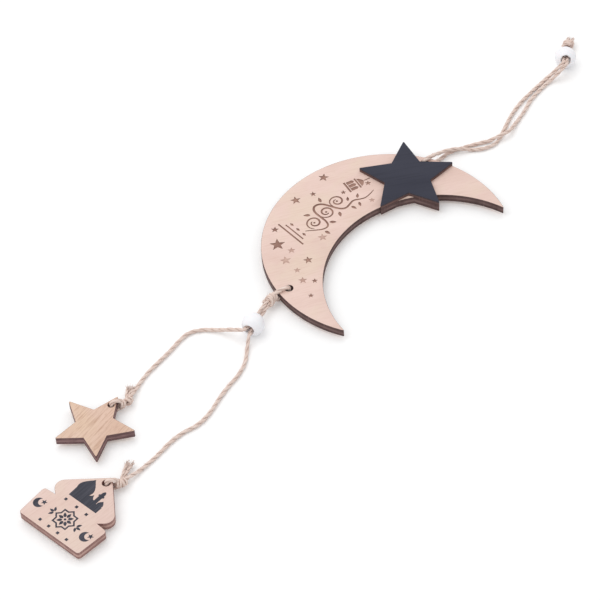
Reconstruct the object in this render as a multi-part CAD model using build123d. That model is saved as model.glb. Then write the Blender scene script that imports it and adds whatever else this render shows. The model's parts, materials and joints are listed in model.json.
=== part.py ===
from build123d import *
import math
import os

os.makedirs("parts", exist_ok=True)

# Driving sizes, in millimetres and degrees
plate_thickness = 3.0
dark_star_thickness = 1.5
cord_diameter = 1.5
tight_cord_diameter = 1.1
contact_gap = 0.1
strand_gap = 0.08
bore_clearance = 0.25

# Crescent
crescent_center = (24.69, 17.34)
crescent_diameter = 88.4
hollow_diameter = 81.2
hollow_distance = 25.6
hollow_bearing = -48.2
horn_rounding = 0.2
upper_hole_diameter = 2.2
upper_hole_bearing = 67.2
upper_hole_inset = 2.05
lower_hole_diameter = 3.0
lower_hole_bearing = 208.3
lower_hole_inset = 4.1

# Stars
dark_star_radius = 17.95
dark_star_notch_radius = 8.6
dark_star_distance = 32.1
dark_star_bearing = 73.0
dark_star_turn = 89.7
small_star_radius = 14.2
small_star_notch_radius = 6.6
small_star_turn = 56.1
small_star_hole_diameter = 2.2
small_star_hole_inset = 4.45
small_star_hole_offset = (-61.7, -47.7)
star_tip_rounding = 0.3

# Mosque tag, measured down from its pointed top
tag_height = 29.4
tag_turn = 45.3
eaves_drop = 13.0
eaves_half_width = 14.2
eaves_rounding = 3.2
neck_drop = 16.7
neck_half_width = 9.6
shoulder_drop = 17.05
shoulder_half_width = 14.3
shoulder_rounding = 1.2
base_half_width = 13.5
base_rounding = 1.1
tag_top_rounding = 0.3
tag_hole_drop = 2.9
tag_hole_diameter = 2.8
tag_hole_offset = (-63.3, -81.1)

# Beads
bead_diameter = 8.0
bead_mouth_rounding = 0.35
top_bead_offset = (56.7, 50.6)
top_bead_heading = 266.0
top_bead_tilt = 22.0
lower_bead_offset = (-13.0, -15.4)
lower_bead_heading = 241.5
lower_bead_tilt = 4.0

# Hitches, bends and knots of the twine
tight_bend = 1.1
ring_gap = 0.05
arc_share = 0.45
hanger_front_bearing = 31.0
hanger_front_reach = 2.9
hanger_back_bearing = 35.0
hanger_back_reach = 4.6
lower_hitch_bearing = 204.0
lower_hitch_reach = 6.5
star_hitch_bearing = 24.8
star_hitch_reach = 5.35
star_knot_distance = 6.0
star_knot_heading = 246.0
tag_hitch_bearing = 12.0
tag_hitch_reach = 4.2
tag_knot_distance = 4.9
tag_knot_heading = 228.0
small_knot_length = 3.0
small_knot_wraps = 2
small_knot_radius = 1.6
small_knot_end_radius = 0.85
small_knot_height = 2.2
lower_knot_length = 3.6
lower_knot_wraps = 2
lower_knot_radius = 2.1
end_knot_length = 4.0
end_knot_wraps = 2
end_knot_radius = 2.3
end_knot_heading = 68.0
end_knot_height = 2.4
fray_length = 1.4
fray_diameter = 2.0

# Sizes that follow from the driving ones
plate_bottom = tight_cord_diameter + contact_gap
plate_top = plate_bottom + plate_thickness
over_plate = plate_top + contact_gap + tight_cord_diameter / 2
under_plate = tight_cord_diameter / 2
loose_step = (cord_diameter - tight_cord_diameter) / 2
floor = cord_diameter / 2
hump = floor + cord_diameter + contact_gap
strand_offset = (cord_diameter + strand_gap) / 2
pair_radius = strand_offset + cord_diameter / 2
bead_bore = 2 * (pair_radius + bore_clearance)
bead_radius = bead_diameter / 2
swing_gap = cord_diameter / 2 + contact_gap


def polar(center, distance, bearing):
    """Point at a distance and bearing from a centre, in plan."""
    angle = math.radians(bearing)
    return (center[0] + distance * math.cos(angle), center[1] + distance * math.sin(angle))


def moved(anchor, points):
    """Route points given from an anchor, moved to where the anchor is."""
    return [(anchor[0] + x, anchor[1] + y, z) for x, y, z in points]


def slope(heading, tilt):
    """Unit direction with a heading in plan and a tilt above the level."""
    level = math.cos(math.radians(tilt))
    x, y = polar((0, 0), level, heading)
    return Vector(x, y, math.sin(math.radians(tilt)))


def star_face(tip_radius, notch_radius, turn):
    """Five-pointed star with slightly blunt tips."""
    points = []
    for step in range(5):
        points.append(polar((0, 0), tip_radius, turn + 72 * step))
        points.append(polar((0, 0), notch_radius, turn + 72 * step + 36))
    face = make_face(Polyline(*points, close=True))
    tips = face.vertices().sort_by_distance((0, 0, 0))[-5:]
    return fillet(tips, star_tip_rounding)


def plate(face, height, thickness=plate_thickness):
    """Flat sheet cut from an outline, with its underside at a height."""
    return Pos(0, 0, height) * extrude(face, amount=thickness, dir=(0, 0, 1))


def drilled(sheet, hole, diameter):
    """Sheet with a round hole right through it."""
    return sheet - Pos(hole[0], hole[1], plate_bottom + plate_thickness / 2) * Cylinder(diameter / 2, 3 * plate_thickness)


def bend_radii(points):
    """Largest tangent arcs that the runs on both sides of each corner allow."""
    radii = []
    for before, corner, after in zip(points, points[1:], points[2:]):
        incoming = Vector(*corner) - Vector(*before)
        outgoing = Vector(*after) - Vector(*corner)
        half_turn = math.radians(incoming.get_angle(outgoing)) / 2
        radii.append(arc_share * min(incoming.length, outgoing.length) / math.tan(half_turn))
    return radii


def tube(name, points, diameter, radii):
    """Round cord on straight runs joined by tangent arcs."""
    path = FilletPolyline(*points, radius=radii)
    section = Plane(origin=path @ 0, z_dir=path % 0) * Circle(diameter / 2)
    solid = sweep(section, path=path)
    share = solid.volume / (math.pi * diameter ** 2 / 4 * path.length)
    print(name, "length", round(path.length, 1), "volume share", round(share, 3), "bend radii",
          [round(radius, 1) for radius in radii])
    return solid


def cord(name, points):
    """Loose twine through a list of route points."""
    return tube(name, points, cord_diameter, bend_radii(points))


def short_of(target, before, gap):
    """Point on the line to a target that stops a gap before it."""
    run = Vector(*target) - Vector(*before)
    return tuple(Vector(*target) - run.normalized() * gap)


def ball_end(point, neighbour):
    """Rounded start of a cord that swings about its first point."""
    outward = Vector(*point) - Vector(*neighbour)
    return Plane(origin=point, z_dir=outward) * Sphere(cord_diameter / 2, arc_size1=0)


def rim_ring(name, hole, hole_diameter, bearing, reach):
    """Tight ring of twine through a hole, over the rim and back under the plate."""
    outer = polar(hole, reach, bearing)
    middle = (over_plate + under_plate) / 2
    points = [
        (*outer, middle + ring_gap),
        (*outer, over_plate),
        (*hole, over_plate),
        (*hole, under_plate),
        (*outer, under_plate),
        (*outer, middle - ring_gap),
    ]
    radii = [tight_bend, hole_diameter / 2, hole_diameter / 2, tight_bend]
    return tube(name, points, tight_cord_diameter, radii)


def wrapped_knot(start, direction, length, wraps, end_radius, wrap_radius):
    """Barrel of twine wraps that runs from a flat end along a direction."""
    pitch = length / wraps
    outline = Curve() + Line((0, 0), (end_radius, 0))
    for wrap in range(wraps):
        low = wrap * pitch
        outline += ThreePointArc((end_radius, low), (wrap_radius, low + pitch / 2), (end_radius, low + pitch))
    outline += Line((end_radius, length), (0, length))
    outline += Line((0, length), (0, 0))
    barrel = revolve(Plane.XZ * make_face(outline), Axis.Z)
    return Plane(origin=start, z_dir=direction) * barrel


def frayed_tail(name, points):
    """Cut end of the twine that opens out at its tip."""
    run = Vector(*points[-1]) - Vector(*points[-2])
    tip = Cone(tight_cord_diameter / 2, fray_diameter / 2, fray_length, align=(Align.CENTER, Align.CENTER, Align.MIN))
    return tube(name, points, tight_cord_diameter, bend_radii(points)) + Plane(origin=points[-1], z_dir=run) * tip


def bead(center, direction):
    """Round bead with a rounded bore."""
    ball = Sphere(bead_radius) - Cylinder(bead_bore / 2, 2 * bead_diameter)
    mouths = ball.edges().filter_by(lambda edge: edge.is_closed)
    return Plane(origin=center, z_dir=direction) * fillet(mouths, bead_mouth_rounding)


def along(center, direction, distance, side):
    """Point on a line through a bead, moved sideways off the line."""
    return tuple(Vector(*center) + direction * distance + side)


nodes = {}

# Crescent plate with its two cord holes, cut in one with the star shape that backs the dark star
hollow_center = polar(crescent_center, hollow_distance, hollow_bearing)
outer_disc = Pos(*crescent_center) * Circle(crescent_diameter / 2)
crescent_face = outer_disc - Pos(*hollow_center) * Circle(hollow_diameter / 2)
crescent_face = fillet(crescent_face.vertices(), horn_rounding)
dark_star_center = polar(crescent_center, dark_star_distance, dark_star_bearing)
dark_face = Pos(*dark_star_center) * star_face(dark_star_radius, dark_star_notch_radius, dark_star_turn)
upper_hole = polar(crescent_center, crescent_diameter / 2 - upper_hole_inset, upper_hole_bearing)
lower_hole = polar(crescent_center, crescent_diameter / 2 - lower_hole_inset, lower_hole_bearing)
crescent = plate(crescent_face + dark_face, plate_bottom)
crescent = drilled(crescent, upper_hole, upper_hole_diameter)
nodes["crescent_plate"] = drilled(crescent, lower_hole, lower_hole_diameter)

# Dark star, a thinner sheet glued on top of the crescent
nodes["dark_star"] = plate(dark_face, plate_top, dark_star_thickness)

# Small star and mosque tag, placed from the crescent's lower hole
star_hole = (lower_hole[0] + small_star_hole_offset[0], lower_hole[1] + small_star_hole_offset[1])
star_center = polar(star_hole, small_star_radius - small_star_hole_inset, small_star_turn + 180)
small_face = star_face(small_star_radius, small_star_notch_radius, small_star_turn)
nodes["small_star"] = drilled(plate(Pos(*star_center) * small_face, plate_bottom), star_hole, small_star_hole_diameter)

tag_hole = (lower_hole[0] + tag_hole_offset[0], lower_hole[1] + tag_hole_offset[1])
right_side = [
    (eaves_half_width, -eaves_drop),
    (neck_half_width, -neck_drop),
    (shoulder_half_width, -shoulder_drop),
    (base_half_width, -tag_height),
]
left_side = [(-x, y) for x, y in reversed(right_side)]
tag_face = make_face(Polyline((0, 0), *right_side, *left_side, close=True))
eaves = tag_face.vertices().filter_by_position(Axis.Y, -eaves_drop - 0.01, -eaves_drop + 0.01)
tag_face = fillet(eaves, eaves_rounding)
shoulders = tag_face.vertices().filter_by_position(Axis.Y, -shoulder_drop - 0.01, -shoulder_drop + 0.01)
tag_face = fillet(shoulders, shoulder_rounding)
base_corners = tag_face.vertices().filter_by_position(Axis.Y, -tag_height - 0.01, -tag_height + 0.01)
tag_face = fillet(base_corners, base_rounding)
tag_face = fillet(tag_face.vertices().sort_by(Axis.Y)[-1], tag_top_rounding)
tag_top = polar(tag_hole, tag_hole_drop, tag_turn)
tag_face = Pos(*tag_top) * Rot(0, 0, tag_turn - 90) * tag_face
nodes["mosque_tag"] = drilled(plate(tag_face, plate_bottom), tag_hole, tag_hole_diameter)

# Beads
top_center = (upper_hole[0] + top_bead_offset[0], upper_hole[1] + top_bead_offset[1], bead_radius)
top_axis = slope(top_bead_heading, top_bead_tilt)
lower_center = (lower_hole[0] + lower_bead_offset[0], lower_hole[1] + lower_bead_offset[1], bead_radius)
lower_axis = slope(lower_bead_heading, lower_bead_tilt)
nodes["top_bead"] = bead(top_center, top_axis)
nodes["lower_bead"] = bead(lower_center, lower_axis)

# Hanging loop: a doubled cord through the upper hole, with its two legs held together by the top bead
front_out = polar(upper_hole, hanger_front_reach, hanger_front_bearing)
back_out = polar(upper_hole, hanger_back_reach, hanger_back_bearing)
loop_points = [
    (*front_out, over_plate),
    (*upper_hole, over_plate),
    (*upper_hole, under_plate),
    (*back_out, under_plate),
]
hole_bends = [upper_hole_diameter / 2, upper_hole_diameter / 2]
nodes["hanger_loop"] = tube("hanger_loop", loop_points, tight_cord_diameter, hole_bends)

left = slope(top_bead_heading - 90, 0) * strand_offset
knot_left = slope(end_knot_heading + 90, 0) * strand_offset
mouth_distance = bead_radius + 1.6
back_distance = -bead_radius - 0.2
end_direction = slope(end_knot_heading, 0)
knot_start = Vector(upper_hole[0] + 58.0, upper_hole[1] + 57.4, end_knot_height)
knot_lead = knot_start - end_direction * 1.5

front_points = [
    (*front_out, over_plate + loose_step),
    (*polar(upper_hole, hanger_front_reach + 1.6, hanger_front_bearing), over_plate + loose_step),
    *moved(upper_hole, [
        (5.3, 4.0, 3.8),
        (6.7, 5.5, 3.0),
        (9.2, 6.9, 2.4),
        (12.1, 7.5, 2.3),
        (15.0, 7.8, 1.5),
        (17.6, 8.0, floor),
        (20.0, 7.8, floor),
        (23.6, 8.5, floor),
        (26.6, 10.1, floor),
        (28.6, 13.0, floor),
        (30.8, 18.1, floor),
        (33.3, 23.7, floor),
        (36.1, 28.5, floor),
        (39.4, 33.0, floor),
        (43.0, 37.0, floor),
        (46.0, 40.2, floor),
        (48.6, 42.8, 0.9),
        (51.1, 44.2, 2.5),
        (53.1, 44.6, 5.2),
    ]),
    along(top_center, top_axis, mouth_distance, left),
    along(top_center, top_axis, back_distance, left),
    tuple(knot_lead + knot_left),
    tuple(knot_start + knot_left),
]
nodes["hanger_front_leg"] = cord("hanger_front_leg", front_points)

back_points = [
    (*back_out, floor),
    (*polar(upper_hole, hanger_back_reach + 2.1, hanger_back_bearing), floor),
    *moved(upper_hole, [
        (7.1, 5.2, floor),
        (9.0, 7.1, floor),
        (12.2, 8.5, floor),
        (16.3, 9.9, floor),
        (20.4, 11.0, floor),
        (24.4, 11.8, floor),
        (27.4, 12.2, hump),
        (32.0, 14.4, hump),
        (34.7, 19.8, floor),
        (37.6, 24.2, floor),
        (39.5, 27.5, floor),
        (41.2, 31.3, floor),
        (44.0, 35.1, floor),
        (47.5, 39.3, floor),
        (49.8, 41.4, 0.9),
        (51.9, 42.3, 2.4),
        (54.9, 42.9, 5.0),
    ]),
    along(top_center, top_axis, mouth_distance, -left),
    along(top_center, top_axis, back_distance, -left),
    tuple(knot_lead - knot_left),
    tuple(knot_start - knot_left),
]
nodes["hanger_back_leg"] = cord("hanger_back_leg", back_points)

end_knot = wrapped_knot(knot_start, end_direction, end_knot_length, end_knot_wraps, pair_radius + 0.1, end_knot_radius)
knot_far = knot_start + end_direction * (end_knot_length - 1)
left_tail = frayed_tail("hanger_left_tail", [
    tuple(knot_far + knot_left),
    tuple(knot_far + knot_left + slope(72, -4) * 1.2),
    tuple(knot_far + knot_left + slope(78, -8) * 2.2),
])
right_tail = frayed_tail("hanger_right_tail", [
    tuple(knot_far - knot_left),
    tuple(knot_far - knot_left + slope(58, -4) * 1.2),
    tuple(knot_far - knot_left + slope(50, -8) * 2.2),
])
nodes["hanger_end_knot"] = end_knot + left_tail + right_tail

# Lower hitch: ring through the crescent's lower hole, and the knot that both drop cords leave
lower_end_radius = pair_radius + 0.1
lower_knot_start = along(lower_center, lower_axis, -bead_radius - 7.5, Vector(0, 0, 0))
lower_ring = rim_ring("lower_hitch", lower_hole, lower_hole_diameter, lower_hitch_bearing, lower_hitch_reach)
lower_barrel = wrapped_knot(lower_knot_start, -lower_axis, lower_knot_length, lower_knot_wraps, lower_end_radius,
                            lower_knot_radius)
nodes["lower_hitch"] = lower_ring + lower_barrel

# Drop cords as far as the places where they begin to swing
beside = slope(lower_bead_heading - 90, 0)
above = slope(lower_bead_heading, lower_bead_tilt + 90)
pair_side = (beside + above).normalized() * strand_offset
star_swing = moved(lower_hole, [(-26.2, -14.0, floor)])[0]
star_turning = moved(lower_hole, [(-18.4, -17.8, 4.3), (-21.8, -15.9, 2.5)])
star_leg_points = [
    along(lower_center, lower_axis, -bead_radius - 7.5, pair_side),
    along(lower_center, lower_axis, bead_radius + 0.3, pair_side),
    *star_turning,
    short_of(star_swing, star_turning[-1], swing_gap),
]
nodes["star_leg"] = cord("star_leg", star_leg_points)

tag_swing = moved(lower_hole, [(-15.7, -24.9, floor)])[0]
tag_turning = moved(lower_hole, [(-15.2, -22.0, 1.7)])
tag_leg_points = [
    along(lower_center, lower_axis, -bead_radius - 7.5, -pair_side),
    along(lower_center, lower_axis, bead_radius, -pair_side),
    *tag_turning,
    short_of(tag_swing, tag_turning[-1], swing_gap),
]
nodes["tag_leg"] = cord("tag_leg", tag_leg_points)

# Cord, knot and hitch of the small star
star_knot_center = polar(star_hole, star_knot_distance, star_hitch_bearing)
star_knot_start = (*polar(star_knot_center, small_knot_length / 2, star_knot_heading + 180), small_knot_height)
star_knot_lead = (*polar(star_knot_center, small_knot_length / 2 + 2, star_knot_heading + 180), small_knot_height)
star_cord_points = [
    star_swing,
    *moved(lower_hole, [
        (-30.9, -13.4, floor),
        (-35.4, -14.4, floor),
        (-38.7, -18.0, floor),
        (-41.8, -22.4, floor),
        (-45.8, -27.0, floor),
        (-49.3, -31.2, floor),
        (-52.1, -35.6, floor),
        (-53.7, -39.2, 1.2),
    ]),
    star_knot_lead,
    star_knot_start,
]
nodes["star_cord"] = cord("star_cord", star_cord_points) + ball_end(star_cord_points[0], star_cord_points[1])

star_barrel = wrapped_knot(star_knot_start, slope(star_knot_heading, 0), small_knot_length, small_knot_wraps,
                           small_knot_end_radius, small_knot_radius)
star_ring = rim_ring("star_knot", star_hole, small_star_hole_diameter, star_hitch_bearing, star_hitch_reach)
star_tail = frayed_tail("star_tail", [
    (star_knot_center[0] - 0.6, star_knot_center[1] + 0.4, small_knot_height),
    (star_knot_center[0] - 0.6, star_knot_center[1] + 3.2, 1.9),
    (star_knot_center[0] - 0.2, star_knot_center[1] + 5.8, 1.5),
])
nodes["star_knot"] = star_barrel + star_ring + star_tail

# Cord, knot and hitch of the mosque tag
tag_knot_center = polar(tag_hole, tag_knot_distance, tag_hitch_bearing)
tag_knot_start = (*polar(tag_knot_center, small_knot_length / 2, tag_knot_heading + 180), small_knot_height)
tag_knot_lead = (*polar(tag_knot_center, small_knot_length / 2 + 2, tag_knot_heading + 180), small_knot_height)
tag_cord_points = [
    tag_swing,
    *moved(lower_hole, [
        (-16.3, -30.0, floor),
        (-18.8, -35.2, floor),
        (-22.8, -40.4, floor),
        (-26.2, -46.0, floor),
        (-29.0, -51.4, floor),
        (-33.0, -56.2, floor),
        (-38.0, -58.8, floor),
        (-42.2, -62.4, floor),
        (-46.4, -67.7, floor),
        (-50.6, -72.1, floor),
        (-53.6, -75.2, 1.2),
    ]),
    tag_knot_lead,
    tag_knot_start,
]
nodes["tag_cord"] = cord("tag_cord", tag_cord_points) + ball_end(tag_cord_points[0], tag_cord_points[1])

tag_barrel = wrapped_knot(tag_knot_start, slope(tag_knot_heading, 0), small_knot_length, small_knot_wraps,
                          small_knot_end_radius, small_knot_radius)
tag_ring = rim_ring("tag_knot", tag_hole, tag_hole_diameter, tag_hitch_bearing, tag_hitch_reach)
tag_tail = frayed_tail("tag_tail", [
    (tag_knot_center[0] - 0.5, tag_knot_center[1] + 0.4, small_knot_height),
    (tag_knot_center[0] - 0.2, tag_knot_center[1] + 3.4, 1.9),
    (tag_knot_center[0] + 1.2, tag_knot_center[1] + 6.2, 1.7),
    (tag_knot_center[0] + 2.0, tag_knot_center[1] + 8.6, 1.5),
])
nodes["tag_knot"] = tag_barrel + tag_ring + tag_tail

for name, solid in nodes.items():
    export_step(solid, f"parts/{name}.step")
    box = solid.bounding_box()
    print(name, "solids", len(solid.solids()), "volume", round(solid.volume, 2), "valid", solid.is_valid,
          [round(v, 2) for v in (*box.min, *box.max)])
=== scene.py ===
import json
import math

import bmesh
import bpy
import numpy as np
from mathutils import Matrix, Vector

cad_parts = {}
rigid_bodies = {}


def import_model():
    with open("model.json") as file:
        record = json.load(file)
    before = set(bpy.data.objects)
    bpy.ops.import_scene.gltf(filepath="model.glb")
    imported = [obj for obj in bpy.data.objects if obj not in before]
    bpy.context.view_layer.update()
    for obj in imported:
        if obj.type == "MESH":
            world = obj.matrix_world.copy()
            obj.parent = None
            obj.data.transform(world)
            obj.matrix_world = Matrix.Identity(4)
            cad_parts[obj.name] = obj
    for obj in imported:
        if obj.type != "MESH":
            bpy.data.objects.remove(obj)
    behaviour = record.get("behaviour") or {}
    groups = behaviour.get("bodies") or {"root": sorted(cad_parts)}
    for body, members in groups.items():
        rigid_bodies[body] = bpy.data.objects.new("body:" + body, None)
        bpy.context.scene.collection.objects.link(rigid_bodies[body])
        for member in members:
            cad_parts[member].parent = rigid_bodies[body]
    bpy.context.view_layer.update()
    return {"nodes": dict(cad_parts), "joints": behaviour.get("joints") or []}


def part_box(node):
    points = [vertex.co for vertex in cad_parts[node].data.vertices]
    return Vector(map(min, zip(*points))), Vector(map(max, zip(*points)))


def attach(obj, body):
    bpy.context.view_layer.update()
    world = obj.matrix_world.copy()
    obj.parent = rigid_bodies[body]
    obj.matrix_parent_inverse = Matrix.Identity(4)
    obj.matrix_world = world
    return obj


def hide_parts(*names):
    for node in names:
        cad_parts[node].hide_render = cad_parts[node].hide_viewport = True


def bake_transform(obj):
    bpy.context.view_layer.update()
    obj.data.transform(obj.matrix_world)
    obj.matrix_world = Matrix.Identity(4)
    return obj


for leftover in list(bpy.data.objects):
    bpy.data.objects.remove(leftover)
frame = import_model()
scene = bpy.context.scene

# Lengths are in millimetres and are turned into metres where a mesh is made
MM = 0.001
joints = {joint["name"]: joint for joint in frame["joints"]}


def anchor(joint):
    """Position of a joint."""
    return np.array(joints[joint]["pos_m"]) / MM


def direction(joint):
    """Axis of a joint."""
    return np.array(joints[joint]["axis"])


def height(node, corner):
    """Height of a node's lowest (0) or highest (1) corner."""
    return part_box(node)[corner].z / MM


# Places that the frame gives
upper_hole = anchor("hanger_swing")
lower_hole = anchor("lower_swing")
star_hole = anchor("small_star_swing")
tag_hole = anchor("mosque_tag_swing")
top_bead_center = anchor("top_bead_slide")
top_bead_axis = direction("top_bead_slide")
lower_bead_center = anchor("lower_bead_slide")
lower_bead_axis = -direction("lower_bead_slide")
plate_bottom = height("crescent_plate", 0)
plate_top = height("crescent_plate", 1)
dark_star_bottom = height("dark_star", 0)
dark_star_top = height("dark_star", 1)

# Plates
crescent_center = (24.69, 17.34)
tag_turn = 45.3
tag_hole_drop = 2.9
edge_rounding = 0.08
engraving_depth = 0.25
ink_thickness = 0.03

# Twine and beads
cord_diameter = 1.5
tight_diameter = 1.1
strand_gap = 0.08
contact_gap = 0.1
strand_offset = (cord_diameter + strand_gap) / 2
floor = cord_diameter / 2
hump = floor + cord_diameter + contact_gap
ring_top = plate_top + contact_gap + cord_diameter / 2
under_plate = tight_diameter / 2
plied_diameter = 1.34
twist_length = 7.5
bead_radius = 4.0
bead_bore = 3.58
bead_mouth_rounding = 0.35

# Loose fibres on each millimetre of twine: lying free, in a pendant knot's tail and pulled tight
free_fuzz = 9
tail_fuzz = 8
tight_fuzz = 5


def polar(center, distance, bearing):
    """Point at a distance and bearing from a centre, in plan."""
    angle = math.radians(bearing)
    return np.array([center[0] + distance * math.cos(angle), center[1] + distance * math.sin(angle)])


def spot(center, distance, bearing, level):
    """Point at a distance and bearing from a centre, at a height."""
    return np.array([*polar(center, distance, bearing), level])


def slope(heading, tilt):
    """Unit direction with a heading in plan and a tilt above the level."""
    angle = math.radians(tilt)
    return spot((0, 0), math.cos(angle), heading, math.sin(angle))


def unit(vectors):
    """A vector, or each of a row of vectors, brought to a length of 1."""
    return vectors / np.linalg.norm(vectors, axis=-1, keepdims=True)


def moved(origin, points):
    """Route points given from an origin, moved to where the origin is."""
    return [(origin[0] + x, origin[1] + y, z) for x, y, z in points]


def shown(name, data):
    """Object of some data, put into the scene."""
    made = bpy.data.objects.new(name, data)
    scene.collection.objects.link(made)
    return made


# Camera at the photograph's viewing angle
camera_position = (-7.10, -640.41, 681.80)
camera_pitch = math.radians(46.957)
camera_roll = math.radians(-3.931)
camera_lens = 161.93
camera_sensor = 36

camera = shown("camera", bpy.data.cameras.new("camera"))
camera.data.lens = camera_lens
camera.data.sensor_width = camera_sensor
camera_tilt = Matrix.Rotation(math.pi / 2 - camera_pitch, 4, "X")
camera_turn = camera_tilt @ Matrix.Rotation(camera_roll, 4, "Z")
camera.matrix_world = Matrix.Translation(Vector(camera_position) * MM) @ camera_turn
scene.camera = camera


# Material helpers
def rgb(red, green, blue):
    """Colour as it shows on a screen, 0 to 255, in the renderer's own linear values."""
    shares = [channel / 255 for channel in (red, green, blue)]
    linear = [s / 12.92 if s <= 0.04045 else ((s + 0.055) / 1.055) ** 2.4 for s in shares]
    return (*linear, 1.0)


def material(name, roughness, specular):
    """Material with its node tree and its shader."""
    made = bpy.data.materials.new(name)
    made.use_nodes = True
    surface = made.node_tree.nodes["Principled BSDF"]
    surface.inputs["Roughness"].default_value = roughness
    surface.inputs["Specular IOR Level"].default_value = specular
    return made, made.node_tree, surface


def plug(tree, socket, value):
    """Link a socket to a node's output, or set it to a value."""
    if isinstance(value, bpy.types.NodeSocket):
        tree.links.new(value, socket)
    else:
        socket.default_value = value


def add(tree, kind, inputs, **settings):
    """New shader node with its settings and inputs."""
    made = tree.nodes.new("ShaderNode" + kind)
    for name, value in settings.items():
        setattr(made, name, value)
    for name, value in inputs.items():
        plug(tree, made.inputs[name], value)
    return made


def mix(tree, share, first, second):
    """Colour between two colours."""
    made = add(tree, "Mix", {0: share, 6: first, 7: second}, data_type="RGBA")
    return made.outputs[2]


def spread(tree, value, low, high, start=0.0, end=1.0):
    """Value between low and high, stretched to run from start to end."""
    made = add(tree, "MapRange", {
        "Value": value, "From Min": low, "From Max": high, "To Min": start, "To Max": end,
    })
    return made.outputs["Result"]


def product(tree, first, second):
    """Two values multiplied."""
    made = add(tree, "Math", {0: first, 1: second}, operation="MULTIPLY")
    return made.outputs[0]


def tint(tree, tone, noise, low, high, color, strength=1.0):
    """Tone drawn towards a colour as a noise goes from low to high."""
    return mix(tree, product(tree, spread(tree, noise, low, high), strength), tone, color)


def ramp(tree, share, stops):
    """Colour read from a row of stops."""
    made = add(tree, "ValToRGB", {"Fac": share})
    row = made.color_ramp.elements
    while len(row) < len(stops):
        row.new(0.5)
    for element, (place, color) in zip(row, stops):
        element.position = place
        element.color = color
    return made.outputs["Color"]


def coat(tree, surface, tone, relief, depth):
    """Give a surface its colour and its relief."""
    plug(tree, surface.inputs["Base Color"], tone)
    made = add(tree, "Bump", {"Height": relief, "Distance": depth * MM, "Strength": 1.0})
    tree.links.new(made.outputs["Normal"], surface.inputs["Normal"])


def streaks(tree, heading, size, detail):
    """Noise in features of a size along, across and through a heading."""
    place = add(tree, "TexCoord", {}).outputs["Object"]
    stretched = add(tree, "Mapping", {
        "Vector": place,
        "Rotation": (0, 0, math.radians(heading)),
        "Scale": [length * MM for length in size],
    }, vector_type="TEXTURE")
    noise = add(tree, "TexNoise", {"Vector": stretched.outputs["Vector"], "Scale": 1.0, "Detail": detail})
    return noise.outputs["Fac"]


# Materials
def wood_face(name, heading, pale, warm, honey, grain, grain_strength):
    """Sanded veneer: soft patches of tone, fine fibres and short pores along the grain."""
    made, tree, surface = material(name, roughness=0.62, specular=0.22)
    broad = streaks(tree, heading, (30, 13, 13), 3)
    patch = streaks(tree, heading + 30, (15, 9, 9), 3)
    fibre = streaks(tree, heading, (8, 0.6, 0.6), 4)
    pores = streaks(tree, heading, (2.4, 0.26, 0.26), 1)
    tone = tint(tree, pale, broad, 0.36, 0.64, warm)
    tone = tint(tree, tone, patch, 0.46, 0.66, honey, 0.7)
    tone = tint(tree, tone, fibre, 0.48, 0.74, grain, grain_strength)
    tone = tint(tree, tone, pores, 0.62, 0.72, grain, 0.7 * grain_strength)
    coat(tree, surface, tone, fibre, 0.03)
    return made


def plies(veneer, core, seam):
    """Colours of three plies and the glue lines between them, from the bottom up."""
    return [
        (0.0, seam), (0.06, veneer), (0.26, veneer), (0.30, seam), (0.35, core),
        (0.65, core), (0.70, seam), (0.74, veneer), (0.93, veneer), (1.0, seam),
    ]


def burnt_edge(name, bottom, top, layers, light, dark):
    """Laser-cut edge in layers, browned unevenly along the cut."""
    made, tree, surface = material(name, roughness=0.72, specular=0.2)
    place = add(tree, "TexCoord", {}).outputs["Object"]
    level = add(tree, "SeparateXYZ", {"Vector": place}).outputs["Z"]
    level = spread(tree, level, bottom * MM, top * MM)
    tone = ramp(tree, level, layers)
    streak = streaks(tree, 0, (0.5, 0.5, 6), 3)
    patch = streaks(tree, 0, (5, 5, 1.6), 3)
    tone = tint(tree, tone, patch, 0.44, 0.68, dark, 0.6)
    tone = tint(tree, tone, streak, 0.5, 0.75, light, 0.4)
    coat(tree, surface, tone, streak, 0.04)
    return made


def engraved(name, dark, light):
    """Scorched floor of an engraved mark, with the laser's raster lines."""
    made, tree, surface = material(name, roughness=0.8, specular=0.15)
    patch = streaks(tree, 0, (5, 5, 5), 3)
    lines = streaks(tree, 20, (2.5, 0.12, 0.12), 1)
    tone = tint(tree, dark, patch, 0.35, 0.68, light)
    tone = tint(tree, tone, lines, 0.45, 0.7, dark, 0.35)
    coat(tree, surface, tone, lines, 0.04)
    return made


def stained_face(name, heading):
    """Charcoal stain that lets the grain show faintly."""
    made, tree, surface = material(name, roughness=0.66, specular=0.15)
    fibre = streaks(tree, heading, (20, 0.7, 0.7), 4)
    broad = streaks(tree, heading, (45, 14, 14), 2)
    tone = tint(tree, rgb(55, 56, 68), broad, 0.35, 0.65, rgb(61, 62, 74))
    tone = tint(tree, tone, fibre, 0.5, 0.75, rgb(44, 45, 55), 0.45)
    coat(tree, surface, tone, fibre, 0.02)
    return made


def ink(name):
    """Dark print, slightly thin where the grain is open."""
    made, tree, surface = material(name, roughness=0.55, specular=0.25)
    fibre = streaks(tree, tag_turn, (12, 0.4, 0.4), 4)
    tone = tint(tree, rgb(50, 51, 62), fibre, 0.42, 0.72, rgb(74, 74, 84))
    coat(tree, surface, tone, fibre, 0.02)
    return made


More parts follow.
